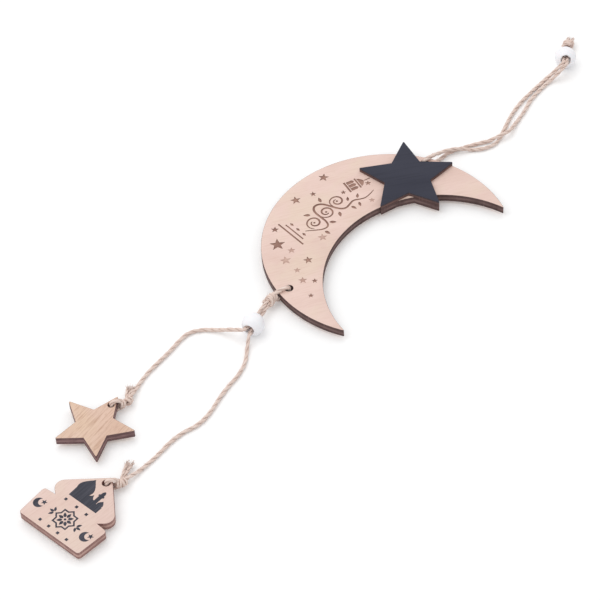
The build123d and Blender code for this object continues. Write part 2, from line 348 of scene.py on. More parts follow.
def bead_gloss(name):
    """White moulded bead with a faint cool cast."""
    made, tree, surface = material(name, roughness=0.3, specular=0.4)
    cloud = streaks(tree, 0, (6, 6, 6), 3)
    grit = streaks(tree, 0, (0.5, 0.5, 0.5), 2)
    tone = tint(tree, rgb(248, 247, 252), cloud, 0.35, 0.65, rgb(251, 250, 253))
    plug(tree, surface.inputs["Roughness"], spread(tree, grit, 0.3, 0.7, 0.27, 0.36))
    surface.inputs["Subsurface Weight"].default_value = 0.15
    surface.inputs["Subsurface Radius"].default_value = (0.0012, 0.0010, 0.0010)
    coat(tree, surface, tone, grit, 0.006)
    return made


def jute(name):
    """Twisted jute: pale and brown fibres along each ply, and painted shade that darkens it between the
    plies.
    """
    made, tree, surface = material(name, roughness=0.8, specular=0.15)
    lay = add(tree, "Attribute", {}, attribute_name="fibre").outputs["Vector"]
    gap = add(tree, "Attribute", {}, attribute_name="crevice_shade").outputs["Fac"]
    fine = add(tree, "Mapping", {"Vector": lay, "Scale": (4.5, 4.5, 0.5)}).outputs["Vector"]
    fine = add(tree, "TexNoise", {"Vector": fine, "Scale": 1.0, "Detail": 3}).outputs["Fac"]
    slow = add(tree, "Mapping", {"Vector": lay, "Scale": (0.6, 0.6, 0.16)}).outputs["Vector"]
    slow = add(tree, "TexNoise", {"Vector": slow, "Scale": 1.0, "Detail": 2}).outputs["Fac"]
    tone = tint(tree, rgb(240, 221, 211), slow, 0.35, 0.65, rgb(228, 205, 194))
    tone = tint(tree, tone, fine, 0.5, 0.72, rgb(199, 170, 157), 0.6)
    tone = tint(tree, tone, fine, 0.46, 0.3, rgb(250, 240, 232), 0.5)
    # Painted shade: the colour is drawn towards a dark brown where the plies meet
    tone = mix(tree, product(tree, gap, 0.85), tone, rgb(178, 149, 137))
    coat(tree, surface, tone, fine, 0.05)
    return made


crescent_face = wood_face(
    "crescent_face", 14, rgb(236, 209, 199), rgb(228, 199, 188), rgb(230, 208, 190), rgb(216, 183, 168), 0.4)
small_star_face = wood_face(
    "small_star_face", 52, rgb(229, 200, 183), rgb(221, 188, 168), rgb(224, 195, 170), rgb(188, 149, 126),
    0.85)
tag_face = wood_face(
    "tag_face", 40, rgb(234, 209, 200), rgb(227, 199, 188), rgb(229, 206, 192), rgb(210, 178, 164), 0.45)
dark_star_face = stained_face("dark_star_face", 8)

crescent_plies = plies(rgb(92, 71, 69), rgb(120, 96, 93), rgb(70, 52, 52))
small_star_plies = plies(rgb(122, 94, 94), rgb(156, 124, 123), rgb(84, 62, 64))
tag_plies = plies(rgb(158, 121, 115), rgb(196, 161, 151), rgb(120, 87, 85))
stain_layers = [
    (0.0, rgb(70, 52, 52)), (0.1, rgb(108, 80, 74)), (0.5, rgb(112, 84, 78)), (0.68, rgb(84, 69, 71)),
    (0.84, rgb(62, 57, 63)), (1.0, rgb(54, 53, 62)),
]
crescent_edge = burnt_edge(
    "crescent_edge", plate_bottom, plate_top, crescent_plies, rgb(128, 103, 98), rgb(66, 49, 48))
dark_star_edge = burnt_edge(
    "dark_star_edge", dark_star_bottom, dark_star_top, stain_layers, rgb(122, 94, 88), rgb(62, 50, 52))
small_star_edge = burnt_edge(
    "small_star_edge", plate_bottom, plate_top, small_star_plies, rgb(158, 126, 122), rgb(92, 68, 69))
tag_edge = burnt_edge(
    "tag_edge", plate_bottom, plate_top, tag_plies, rgb(198, 164, 153), rgb(128, 94, 91))

deep_mark = engraved("deep_mark", rgb(147, 112, 101), rgb(180, 145, 130))
faint_mark = engraved("faint_mark", rgb(186, 151, 139), rgb(213, 183, 169))
tag_ink = ink("tag_ink")
white_bead = bead_gloss("white_bead")
jute_twine = jute("jute_twine")


# Meshes
def mesh_object(name, points, faces, finish, smooth):
    """Object from points in millimetres."""
    mesh = bpy.data.meshes.new(name)
    mesh.from_pydata((np.asarray(points) * MM).tolist(), [], faces)
    mesh.polygons.foreach_set("use_smooth", [smooth] * len(mesh.polygons))
    mesh.materials.append(finish)
    mesh.update()
    return shown(name, mesh)


def seated(piece, body, slot, *nodes):
    """Piece that rides on a body and stands for nodes. The slot is not used."""
    if body:
        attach(piece, body)
    if nodes:
        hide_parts(*nodes)
    return piece


def prisms(name, outlines, low, high, finish):
    """One object of separate upright prisms, over outlines drawn either way round."""
    points = []
    faces = []
    for outline in outlines:
        x, y = np.array(outline).T
        if np.sum(x * np.roll(y, -1) - y * np.roll(x, -1)) < 0:
            outline = outline[::-1]
        count = len(outline)
        lower = len(points)
        upper = lower + count
        points += [(x, y, level) for level in (low, high) for x, y in outline]
        faces.append(list(range(upper - 1, lower - 1, -1)))
        faces.append(list(range(upper, upper + count)))
        for here in range(count):
            after = (here + 1) % count
            faces.append([lower + here, lower + after, upper + after, upper + here])
    return mesh_object(name, points, faces, finish, False)


def spline_line(points, resolution):
    """Points along the smooth line that a route's points control."""
    curve = bpy.data.curves.new("route", "CURVE")
    curve.dimensions = "3D"
    curve.resolution_u = resolution
    spline = curve.splines.new("NURBS")
    spline.points.add(len(points) - 1)
    for control, point in zip(spline.points, points):
        control.co = (*point, 1)
    spline.order_u = 3
    spline.use_endpoint_u = True
    holder = bpy.data.objects.new("route", curve)
    mesh = bpy.data.meshes.new_from_object(holder)
    line = np.array([vertex.co for vertex in mesh.vertices])
    bpy.data.meshes.remove(mesh)
    bpy.data.objects.remove(holder)
    bpy.data.curves.remove(curve)
    return line


# Plates, copied from the frame with their edges slightly rounded
weld_distance = 0.0001
flat_angle = math.radians(0.5)
sharp_angle = math.radians(35)

# How far a face's normal points up or down: less on a wall, more on a flat side, and more where it takes
# the face finish
wall_rise = 0.5
flat_rise = 0.9
face_rise = 0.95


def board(name, node, body, slot, face, edge):
    """Plate with a face finish and an edge finish."""
    solid = bmesh.new()
    solid.from_mesh(frame["nodes"][node].data)
    bmesh.ops.remove_doubles(solid, verts=solid.verts, dist=weld_distance * MM)
    bmesh.ops.dissolve_limit(solid, angle_limit=flat_angle, verts=solid.verts, edges=solid.edges)
    rims = []
    for line in solid.edges:
        levels = sorted(abs(side.normal.z) for side in line.link_faces)
        if len(levels) == 2 and levels[0] < wall_rise and levels[1] > flat_rise:
            rims.append(line)
    bmesh.ops.bevel(solid, geom=rims, offset=edge_rounding * MM, segments=2, profile=0.5, affect="EDGES",
                    clamp_overlap=False)
    mesh = bpy.data.meshes.new(name)
    solid.to_mesh(mesh)
    solid.free()
    mesh.materials.append(face)
    mesh.materials.append(edge)
    for polygon in mesh.polygons:
        polygon.material_index = 0 if abs(polygon.normal.z) > face_rise else 1
    mesh.shade_smooth()
    mesh.set_sharp_from_angle(angle=sharp_angle)
    return seated(shown(name, mesh), body, slot, node)


def engrave(plate, cutters):
    """Cut marks into a plate."""
    for cutter in cutters:
        cut = plate.modifiers.new(cutter.name, "BOOLEAN")
        cut.operation = "DIFFERENCE"
        cut.solver = "EXACT"
        cut.use_self = True
        cut.material_mode = "TRANSFER"
        cut.object = cutter
    bpy.context.view_layer.update()
    whole = plate.evaluated_get(bpy.context.evaluated_depsgraph_get())
    mesh = bpy.data.meshes.new_from_object(whole)
    plate.modifiers.clear()
    plate.data = mesh
    for cutter in cutters:
        bpy.data.objects.remove(cutter)


crescent = board("crescent_board", "crescent_plate", "crescent", "pale_plywood", crescent_face, crescent_edge)
board("dark_star_board", "dark_star", "crescent", "charcoal_stained_wood", dark_star_face, dark_star_edge)
board("small_star_board", "small_star", "small_star", "tan_plywood", small_star_face, small_star_edge)
board("mosque_tag_board", "mosque_tag", "mosque_tag", "light_plywood", tag_face, tag_edge)


# Marks
star_waist = 0.42


def star_outline(center, size, turn):
    """Small five-pointed star."""
    corners = []
    for step in range(5):
        corners.append(polar(center, size, turn + 72 * step))
        corners.append(polar(center, star_waist * size, turn + 72 * step + 36))
    return corners


def on_line(start, heading, points):
    """Points given along and to the left of a line."""
    along = polar((0, 0), 1, heading)
    left = polar((0, 0), 1, heading + 90)
    return [start + along * u + left * v for u, v in points]


def bar(start, end, low, high):
    """Straight bar along a line."""
    return [(start, low), (end, low), (end, high), (start, high)]


def leaf_outline(base, heading, length, width):
    """Pointed leaf that grows from a base."""
    steps = 7
    edge = []
    for step in range(steps + 1):
        share = step / steps
        edge.append((length * share, 0.5 * width * math.sin(math.pi * share ** 0.8)))
    return on_line(base, heading, edge + [(along, -half) for along, half in edge[-2:0:-1]])


def stroke_outline(line, width):
    """Line drawn with a pen that starts and ends thin."""
    line = np.asarray(line)[:, :2]
    run = unit(np.gradient(line, axis=0))
    across = np.stack([-run[:, 1], run[:, 0]], axis=1)
    share = np.linspace(0, 1, len(line))[:, None]
    half = 0.5 * width * (0.35 + 0.65 * np.sin(np.pi * share) ** 0.6)
    return list(line + across * half) + list((line - across * half)[::-1])


# Engraved stars: distance and bearing from the crescent's centre, size and turn
deep_stars = [
    (39.8, 120.8, 2.05, 80), (38.9, 142.6, 2.0, 100), (35.9, 133.2, 1.25, 95), (29.4, 117.9, 1.1, 90),
    (40.1, 166.0, 1.5, 85), (38.4, 176.6, 2.9, 92), (28.7, 192.5, 1.8, 98), (30.9, 211.9, 1.17, 90),
    (36.3, 219.7, 1.1, 86), (30.2, 98.9, 1.25, 90),
]
faint_stars = [
    (33.6, 181.7, 1.5, 90), (36.3, 189.0, 2.05, 97), (33.8, 198.6, 1.3, 88), (34.2, 207.4, 1.65, 92),
    (21.5, 100.3, 1.17, 90), (22.8, 168.9, 1.8, 94),
]


def star_marks(stars):
    """Outlines of engraved stars."""
    return [star_outline(polar(crescent_center, *star[:2]), *star[2:]) for star in stars]


# Engraved vine on a band that follows the crescent
band_radius = 27.0
band_bearing = 140.0


def on_band(points):
    """Points given along and out from the band's middle line."""
    placed = []
    for along, out in points:
        bearing = band_bearing - math.degrees(along / band_radius)
        placed.append(spot(crescent_center, band_radius + out, bearing, 0))
    return placed


def curl(center, side, size):
    """Tendril that winds in round a centre on one side of the stem."""
    turns = 1.35
    start_angle = 200
    tightening = 0.68
    steps = 27
    points = []
    for step in range(steps + 1):
        share = step / steps
        angle = side * (start_angle - 360 * turns * share)
        points.append(polar(center, size * (1 - tightening * share), angle))
    return on_band(points)


stem = [
    (-11.4, 2.4), (-10.5, -0.4), (-9.2, -3.6), (-6.9, -4.9), (-4.6, -3.4), (-3.4, 0.0), (-2.3, 3.4),
    (-0.3, 4.8), (1.8, 3.4), (2.9, 0.0), (4.1, -3.2), (6.3, -4.7), (8.8, -4.0), (11.4, -2.8),
    (14.2, -3.6), (17.4, -3.6), (20.6, -0.6),
]
curls = [((-6.9, 0.5), 1, 3.0), ((-0.3, -0.6), -1, 3.0), ((6.2, 0.2), 1, 2.8)]
leaves = [
    ((-9.9, -4.4), 250, 2.4, 1.2), ((-4.2, 3.4), 120, 2.6, 1.2), ((2.2, 3.9), 62, 2.6, 1.2),
    ((-4.3, -4.2), 296, 2.6, 1.2), ((2.9, -4.2), 236, 2.6, 1.2), ((8.9, -5.0), 290, 2.4, 1.1),
    ((9.4, -2.2), 60, 2.2, 1.0), ((13.4, -2.6), 62, 2.4, 1.0), ((13.0, -4.6), 262, 2.4, 1.0),
]
stem_width = 0.85
tendril_width = 0.7
berry_size = 0.42
vine = [stroke_outline(spline_line(on_band(stem), 6), stem_width)]
for center, side, size in curls:
    vine.append(stroke_outline(curl(center, side, size), tendril_width))
    middle = on_band([center])[0]
    vine.append([polar(middle, berry_size, 36 * step) for step in range(10)])
for (along, out), heading, length, width in leaves:
    base = on_band([(along, out)])[0][:2]
    tip_bearing = band_bearing - math.degrees(along / band_radius)
    vine.append(leaf_outline(base, heading + tip_bearing - 90, length, width))

# Engraved border of two rules and a row of diamonds
rule_start = np.array([-12.9, 29.6])
rule_heading = -52.2
diamond_row = 3.4
diamond_reach = 0.95
diamond_half = 0.55
border_shapes = [bar(0, 13.5, -0.3, 0.3), bar(2.0, 11.5, 1.45, 1.95)]
for place in (3.4, 6.7, 10.0):
    border_shapes.append([
        (place - diamond_reach, diamond_row), (place, diamond_row - diamond_half),
        (place + diamond_reach, diamond_row), (place, diamond_row + diamond_half),
    ])
border = [on_line(rule_start, rule_heading, shape) for shape in border_shapes]

# Engraved lantern, from its base towards the dark star
lantern_base = np.array([12.2, 45.5])
lantern_heading = 26.0
lantern_shapes = [
    bar(0, 0.7, -2.7, 2.7),
    bar(4.3, 4.9, -2.6, 2.6),
    [(5.2, -2.1), (6.0, -1.7), (6.7, -0.8), (7.1, 0), (6.7, 0.8), (6.0, 1.7), (5.2, 2.1)],
    bar(7.3, 9.6, -0.2, 0.2),
]
window_half = 0.7
for side in (-1.7, 0.0, 1.7):
    left = side - window_half
    right = side + window_half
    lantern_shapes.append([(1.0, left), (3.3, left), (4.0, side), (3.3, right), (1.0, right)])
lantern = [on_line(lantern_base, lantern_heading, shape) for shape in lantern_shapes]

mark_floor = plate_top - engraving_depth
faint_floor = plate_top - 0.5 * engraving_depth
mark_head = plate_top + 1
engrave(crescent, [
    prisms("deep_stars", star_marks(deep_stars), mark_floor, mark_head, deep_mark),
    prisms("faint_stars", star_marks(faint_stars), faint_floor, mark_head, faint_mark),
    prisms("border", border, mark_floor, mark_head, deep_mark),
    prisms("lantern", lantern, mark_floor, mark_head, deep_mark),
    prisms("vine", vine, mark_floor, mark_head, deep_mark),
])

# Print on the tag: figures right of and above the tag's pointed top
tag_top = polar(tag_hole, tag_hole_drop, tag_turn)


def dome(center, base, half_width, rise):
    """Points of an onion dome, from its left foot over its point to its right foot."""
    steps = 12
    left = []
    right = []
    for step in range(steps + 1):
        share = step / steps
        half = half_width * 1.09 * (1 - share) ** 1.3 * (0.85 + 1.9 * share)
        left.append((center - half, base + rise * share))
        right.append((center + half, base + rise * share))
    return left + right[-2::-1]


def moon(center, size):
    """Crescent moon that opens towards the upper right."""
    opening = 45
    steps = 18
    outer = [polar(center, size, opening + angle) for angle in range(48, 313, 12)]
    inner_center = polar(center, 0.62 * size, opening)
    first = outer[0] - inner_center
    last = outer[-1] - inner_center
    start = math.degrees(math.atan2(last[1], last[0]))
    sweep = (math.degrees(math.atan2(first[1], first[0])) - start) % 360 - 360
    radius = math.hypot(*first)
    return outer + [polar(inner_center, radius, start + sweep * step / steps) for step in range(1, steps)]


def star_band(center, size, width):
    """Outline of an eight-pointed star drawn as a band, in two halves."""
    rings = []
    for radius in (size, size - width):
        reach = (radius, 0.77 * radius)
        rings.append([polar(center, reach[step % 2], 22.5 * step) for step in range(17)])
    outer, inner = rings
    return [outer[:9] + inner[8::-1], outer[8:] + inner[:7:-1]]


mosque = [
    (-6.1, -14.0), (-6.2, -10.4), *dome(-3.4, -9.9, 3.1, 5.8),
    (-0.7, -10.2), (0.1, -9.7), (0.6, -9.0), (1.0, -9.9), (1.6, -10.6), (2.0, -10.6), (2.0, -8.3),
    (1.6, -8.1), (1.6, -7.6), (2.05, -7.4), (2.05, -6.6), (2.5, -5.8), (3.0, -5.8), (3.45, -6.6),
    (3.45, -7.4), (3.9, -7.6), (3.9, -8.1), (3.5, -8.3), (3.5, -11.2),
    *dome(4.85, -11.2, 1.15, 2.2), (6.2, -11.3), (6.2, -14.0),
]
figures = [mosque]
moon_size = 1.95
moon_star_size = 1.15
for moon_center in ((-11.2, -22.6), (10.3, -23.0)):
    figures.append(moon(moon_center, moon_size))
    figures.append(star_outline(polar(moon_center, 1.8, 42), moon_star_size, 96))
upper_dots = [(-5.4, -16.0), (-0.4, -16.1), (4.2, -16.3)]
lower_dots = [(-5.9, -27.2), (-1.8, -27.4), (2.4, -27.5), (6.5, -27.6)]
dot_size = 0.7
for dot in upper_dots + lower_dots:
    figures.append([polar(dot, dot_size, 90 * step + 45) for step in range(4)])

# Rosette in the middle of the tag, with a sprig of three leaves on either side
rosette = np.array([0.35, -22.1])
rosette_size = 4.4
rosette_line = 0.75
figures += star_band(rosette, rosette_size, rosette_line)
for step in range(8):
    figures.append(leaf_outline(polar(rosette, 0.85, 45 * step), 45 * step, 2.0, 1.1))
figures.append([polar(rosette, 0.45, 30 * step) for step in range(12)])
for heading in (180, 0):
    root = polar(rosette, 4.7, heading)
    for way in (heading - 55, heading, heading + 55):
        figures.append(leaf_outline(polar(root, 0.35, way), way, 1.9, 0.9))
printed = [on_line(tag_top, tag_turn - 90, figure) for figure in figures]
tag_print = prisms("tag_print", printed, plate_top - ink_thickness, plate_top + ink_thickness, tag_ink)
seated(tag_print, "mosque_tag", "charcoal_stained_wood")


# Beads
def bead(name, center, axis, body):
    """Round bead with a bore and rounded mouths, turned about its axis."""
    bore = bead_bore / 2
    rounding = bead_mouth_rounding
    mouth_level = math.sqrt((bead_radius - rounding) ** 2 - (bore + rounding) ** 2)
    meeting = math.atan2(mouth_level, bore + rounding)
    mouth_steps = 6
    ball_steps = 32
    upper = []
    for step in range(mouth_steps):
        angle = math.pi + (meeting - math.pi) * step / mouth_steps
        upper.append((bore + rounding + rounding * math.cos(angle), mouth_level + rounding * math.sin(angle)))
    ball = [meeting - 2 * meeting * step / ball_steps for step in range(ball_steps + 1)]
    profile = [(bore, mouth_level * share) for share in (-0.75, -0.4, 0, 0.4, 0.75)] + upper
    profile += [(bead_radius * math.cos(angle), bead_radius * math.sin(angle)) for angle in ball]
    profile += [(radius, -level) for radius, level in reversed(upper)]
    side = unit(np.cross(axis, (0, 0, 1)))
    front = np.cross(axis, side)
    spokes = 72
    points = []
    faces = []
    for spoke in range(spokes):
        angle = 2 * math.pi * spoke / spokes
        out = side * math.cos(angle) + front * math.sin(angle)
        points += [center + out * radius + axis * level for radius, level in profile]
        for here in range(len(profile)):
            after = (here + 1) % len(profile)
            this_spoke = spoke * len(profile)
            next_spoke = (spoke + 1) % spokes * len(profile)
            faces.append([this_spoke + here, this_spoke + after, next_spoke + after, next_spoke + here])
    seated(mesh_object(name, points, faces, white_bead, True), body, "white_bead", body)


bead("top_bead_shell", top_bead_center, top_bead_axis, "top_bead")
bead("lower_bead_shell", lower_bead_center, lower_bead_axis, "lower_bead")


# Twine of two plies, in shares of its diameter: a ply's distance from the middle line and its half widths
ply_distance = 0.24
ply_outward = 0.27
ply_across = 0.37

# Yarns that ridge a ply: how many, how high and how long a turn of them is
yarns = 5
yarn_height = 0.06
yarn_turn = 2.4

# Unevenness along the twine: share of its thickness, and angle of its twist in radians
uneven_thickness = 0.09
uneven_twist = 0.5

# Share of the twine's radius where the painted shade between its plies begins, and how far in it is darkest
shade_start = 0.72
shade_depth = 0.35

# Thickness of single fibres, on the twine and in a frayed end
fuzz_thickness = (0.03, 0.06)
fray_thickness = (0.10, 0.18)


def frames(line):
    """Directions along a line and two square to it that don't twist."""
    askew = (0.3, 0.2, 1)
    tangents = unit(np.gradient(line, axis=0))
    side = np.cross(tangents[0], askew)
    sides = []
    for tangent in tangents:
        side = unit(side - tangent * (side @ tangent))
        sides.append(side)
    sides = np.array(sides)
    return tangents, sides, np.cross(tangents, sides)


def lengths(line):
    """Distance travelled along a line at each of its points."""
    return np.concatenate([[0], np.cumsum(np.linalg.norm(np.diff(line, axis=0), axis=1))])


class Strands:
    """Twine, loose fibres and frayed ends, gathered into one mesh."""

    def __init__(self, seed):
        self.random = np.random.default_rng(seed)
        self.points = []
        self.faces = []
        self.fibre = []
        # Painted shade at each point, darkest between the plies
        self.crevice_shade = []

    def tube(self, rings, fibre, crevice_shade):
        """Closed tube through rings of points."""
        # Painted shade on a tube's end caps
        cap_shade = 0.3
        count, sides = rings.shape[:2]
        first = len(self.points)
        self.points += [*rings.reshape(-1, 3).tolist(), rings[0].mean(0).tolist(), rings[-1].mean(0).tolist()]
        self.fibre += [*fibre.reshape(-1, 3).tolist(), fibre[0, 0].tolist(), fibre[-1, 0].tolist()]
        self.crevice_shade += [*crevice_shade.ravel().tolist(), cap_shade, cap_shade]
        last = first + (count - 1) * sides
        start_cap = last + sides
        for k in range(sides):
            after = (k + 1) % sides
            for here in range(first, last, sides):
                self.faces.append([here + k, here + after, here + sides + after, here + sides + k])
            self.faces.append([first + after, first + k, start_cap])
            self.faces.append([last + k, last + after, start_cap + 1])

    def twine(self, line, diameter):
        """Two plies twisted round each other along a line, of one diameter or one for each point."""
        sides = 14
        along = lengths(line)
        thick = diameter * np.ones(len(line))
        pitch = twist_length * thick.mean() / cord_diameter
        _, beside, above = frames(line)
        knots = np.linspace(0, along[-1], max(3, int(along[-1] / 4)))
        swell = self.random.uniform(-uneven_thickness, uneven_thickness, len(knots))
        swell = 1 + np.interp(along, knots, swell)
        wander = self.random.uniform(-uneven_twist, uneven_twist, len(knots))
        wander = np.interp(along, knots, wander)
        round_ply = np.linspace(0, 2 * np.pi, sides, endpoint=False)
        for ply in range(2):
            angle = 2 * np.pi * along / pitch + wander + ply * np.pi
            outward = beside * np.cos(angle)[:, None] + above * np.sin(angle)[:, None]
            middle = line + outward * (ply_distance * thick * swell)[:, None]
            across = np.cross(unit(np.gradient(middle, axis=0)), outward)
            ridges = np.cos(yarns * round_ply[None] + 2 * np.pi * along[:, None] / yarn_turn)
            yarn = 1 + yarn_height * ridges
            out_part = ply_outward * (thick * swell)[:, None] * yarn * np.cos(round_ply)
            side_part = ply_across * (thick * swell)[:, None] * yarn * np.sin(round_ply)
            rings = middle[:, None] + outward[:, None] * out_part[..., None]
            rings += across[:, None] * side_part[..., None]
            # Painted shade: darker where a ply's surface lies near the twine's middle line, between the plies
            from_axis = np.linalg.norm(rings - line[:, None], axis=2) / (0.5 * thick[:, None])
            twisted = round_ply[None] + along[:, None] * 0.9
            level = along[:, None] + 0 * twisted
            fibre = np.stack([np.cos(twisted) + 7 * ply, np.sin(twisted), level], axis=2)
            self.tube(rings, fibre, np.clip((shade_start - from_axis) / shade_depth, 0, 1))

    def hair(self, start, lead, bend, length, thickness):
        """Single fibre that leaves a point along a lead and bends away, above the table."""
        count = 5
        sides = 3
        lowest = 0.05
        share = np.linspace(0, 1, count)[:, None]
        line = start + lead * length * share + bend * length * share ** 2
        line[:, 2] = np.maximum(line[:, 2], lowest)
        _, beside, above = frames(line)
        angles = np.arange(sides)[None, :, None] * 2 * np.pi / sides
        radius = 0.5 * thickness * (1 - 0.6 * share)
        ring = beside[:, None] * np.cos(angles) + above[:, None] * np.sin(angles)
        rings = line[:, None] + ring * radius[..., None]
        blank = np.zeros((count, sides))
        offset = blank + self.random.uniform(0, 40)
        fibre = np.stack([offset, blank, np.repeat(share * 0.1, sides, axis=1)], axis=2)
        self.tube(rings, fibre, blank)

    def fuzz(self, line, diameter, per_mm, shortest=0.4, longest=1.3):
        """Loose fibres that stand off a line of twine."""
        tangents, beside, above = frames(line)
        for _ in range(int(lengths(line)[-1] * per_mm)):
            place = self.random.integers(1, len(line) - 1)
            angle = self.random.uniform(0, 2 * np.pi)
            outward = beside[place] * np.cos(angle) + above[place] * np.sin(angle)
            way = self.random.choice((-1, 1))
            lead = 0.8 * way * tangents[place] + self.random.uniform(0.25, 0.7) * outward
            bend = self.random.normal(0, 0.35, 3)
            length = shortest + (longest - shortest) * self.random.uniform() ** 2
            start = line[place] + outward * 0.4 * diameter
            self.hair(start, unit(lead), bend, length, self.random.uniform(*fuzz_thickness))

    def fray(self, end, heading, count, length, opening):
        """Cut end of the twine, opened into a brush of fibres."""
        for _ in range(count):
            lead = heading + self.random.normal(0, opening, 3)
            start = end + self.random.normal(0, 0.22, 3)
            bend = self.random.normal(0, 0.2, 3)
            share = self.random.uniform(0.6, 1.0)
            self.hair(start, unit(lead), bend, length * share, self.random.uniform(*fray_thickness))

    def wraps(self, start, axis, length, turns, radius, diameter, phase):
        """Turns of twine pulled tight round a line, with their fibres."""
        side = unit(np.cross(axis, (0, 0, 1)))
        above = np.cross(side, axis)
        steps = 12 * turns
        points = []
        for step in range(steps + 1):
            share = step / steps
            angle = 2 * math.pi * turns * share + math.radians(phase)
            drop = length * share + 0.25 * math.sin(angle + 0.8)
            out = radius * (1 + 0.05 * math.sin(2.3 * angle))
            points.append(start + axis * drop + out * (side * math.cos(angle) + above * math.sin(angle)))
        line = spline_line(points, 4)
        self.twine(line, diameter)
        self.fuzz(line, diameter, tight_fuzz)

    def ring(self, points):
        """Twine pulled through a hole and round a rim, full above the plate and squeezed flat below it."""
        line = spline_line(points, 8)
        share = np.clip((line[:, 2] - plate_bottom) / (plate_top - plate_bottom), 0, 1)
        self.twine(line, tight_diameter + (cord_diameter - tight_diameter) * share)
        self.fuzz(line[:len(line) // 3], cord_diameter, tight_fuzz)

    def make(self, name, body, *nodes):
        """Piece of everything gathered, on a body and in place of nodes."""
        made = mesh_object(name, self.points, self.faces, jute_twine, True)
        fibre = made.data.attributes.new("fibre", "FLOAT_VECTOR", "POINT")
        fibre.data.foreach_set("vector", np.array(self.fibre, np.float32).ravel())
        # Painted shade between the plies, read by the jute material
        crevice_shade = made.data.attributes.new("crevice_shade", "FLOAT", "POINT")
        crevice_shade.data.foreach_set("value", np.array(self.crevice_shade, np.float32))
        return seated(made, body, "jute_twine", *nodes)


def free_cord(name, route, body, nodes, seed):
    """Limp twine of a real length along a route, and the fibres that stand off it."""
    line = spline_line(route, 16)
    plied = Strands(seed)
    plied.twine(line, plied_diameter)
    loose = Strands(seed + 1)
    loose.fuzz(line, plied_diameter, free_fuzz)
    twine = plied.make(name + "_twine", body, *nodes)
    fuzz = loose.make(name + "_fuzz", body)
    return twine, fuzz


# Hanging loop
top_bead_heading = 266.0
bore_squeeze = 0.8
top_left = slope(top_bead_heading - 90, 0) * bore_squeeze * strand_offset
end_knot_heading = 68.0
end_knot_height = 2.4
end_wrap_diameter = 1.35
knot_left = slope(end_knot_heading + 90, 0) * strand_offset
end_direction = slope(end_knot_heading, 0)
knot_start = np.array([upper_hole[0] + 58.0, upper_hole[1] + 57.4, end_knot_height])
knot_lead = knot_start - end_direction * 1.5
front_bearing = 31.0
back_bearing = 35.0
mouth = top_bead_center + top_bead_axis * (bead_radius + 1.6)
behind = top_bead_center - top_bead_axis * (bead_radius + 0.2)

front_route = [
    spot(upper_hole, 2.9, front_bearing, ring_top),
    spot(upper_hole, 4.5, front_bearing, ring_top),
    *moved(upper_hole, [
        (5.3, 4.0, 3.8), (6.7, 5.5, 3.0), (9.2, 6.9, 2.4), (12.1, 7.5, 2.3), (15.0, 7.8, 1.5),
        (17.6, 8.0, floor), (20.0, 7.8, floor), (23.6, 8.5, floor), (26.6, 10.1, floor), (28.6, 13.0, floor),
        (30.8, 18.1, floor), (33.3, 23.7, floor), (36.1, 28.5, floor), (39.4, 33.0, floor),
        (43.0, 37.0, floor), (46.0, 40.2, floor), (48.6, 42.8, 0.9), (51.4, 43.7, 2.9), (53.9, 44.2, 5.6),
    ]),
    mouth + top_left,
    behind + top_left,
    knot_lead + knot_left,
    knot_start + knot_left,
]
back_route = [
    spot(upper_hole, 4.6, back_bearing, floor),
    spot(upper_hole, 6.7, back_bearing, floor),
    *moved(upper_hole, [
        (7.1, 5.2, floor), (9.0, 7.1, floor), (12.2, 8.5, floor), (16.3, 9.9, floor), (20.4, 11.0, floor),
        (24.4, 11.8, floor), (27.4, 12.2, hump), (32.0, 14.4, hump), (34.7, 19.8, floor),
        (37.6, 24.2, floor), (39.5, 27.5, floor), (41.2, 31.3, floor), (44.0, 35.1, floor),
        (47.5, 39.3, floor), (49.8, 41.4, 0.9), (51.7, 42.4, 2.1), (54.4, 43.1, 4.6),
    ]),
    mouth - top_left,
    behind - top_left,
    knot_lead - knot_left,
    knot_start - knot_left,
]
free_cord("hanger_front", front_route, "hanger", ["hanger_front_leg"], seed=11)
free_cord("hanger_back", back_route, "hanger", ["hanger_back_leg"], seed=21)

# Ring round the upper hole's rim: distance from the hole, bearing and height
hitch_route = [
    (4.2, front_bearing, ring_top), (2.9, front_bearing, ring_top), (1.6, front_bearing, ring_top),
    (0.6, front_bearing, ring_top), (-0.3, front_bearing, ring_top - 0.5),
    (-0.3, front_bearing, plate_top - 0.8), (-0.1, front_bearing, plate_bottom + 0.8),
    (0.1, back_bearing, under_plate + 0.4), (0.9, back_bearing, under_plate),
    (2.6, back_bearing, under_plate), (4.4, back_bearing, under_plate + 0.1), (5.6, back_bearing, floor),
]
hanger_hitch = Strands(31)
hanger_hitch.ring([spot(upper_hole, *point) for point in hitch_route])
hanger_hitch.make("hanger_hitch_twine", "hanger", "hanger_loop")

end_knot = Strands(41)
end_knot.wraps(knot_start + end_direction * 0.7, end_direction, length=2.2, turns=2, radius=1.5,
               diameter=end_wrap_diameter, phase=40)
for side, heading in ((1, 74), (-1, 62)):
    tail_start = knot_start + end_direction * 2.2 + side * knot_left * 0.75
    tail_bend = tail_start + end_direction * 1.2
    tail_way = slope(heading, -4)
    tail_line = spline_line([
        tail_start, tail_start + end_direction * 1.0, tail_bend + tail_way * 0.9, tail_bend + tail_way * 1.7,
    ], 8)
    end_knot.twine(tail_line, end_wrap_diameter)
    end_knot.fray(tail_line[-1], tail_way, count=44, length=1.3, opening=0.28)
    end_knot.fuzz(tail_line, end_wrap_diameter, free_fuzz)
end_knot.make("hanger_knot_twine", "hanger", "hanger_end_knot")


# Lower hitch and the two strings
small_wrap_diameter = 1.2
hitch_wrap_diameter = 1.3


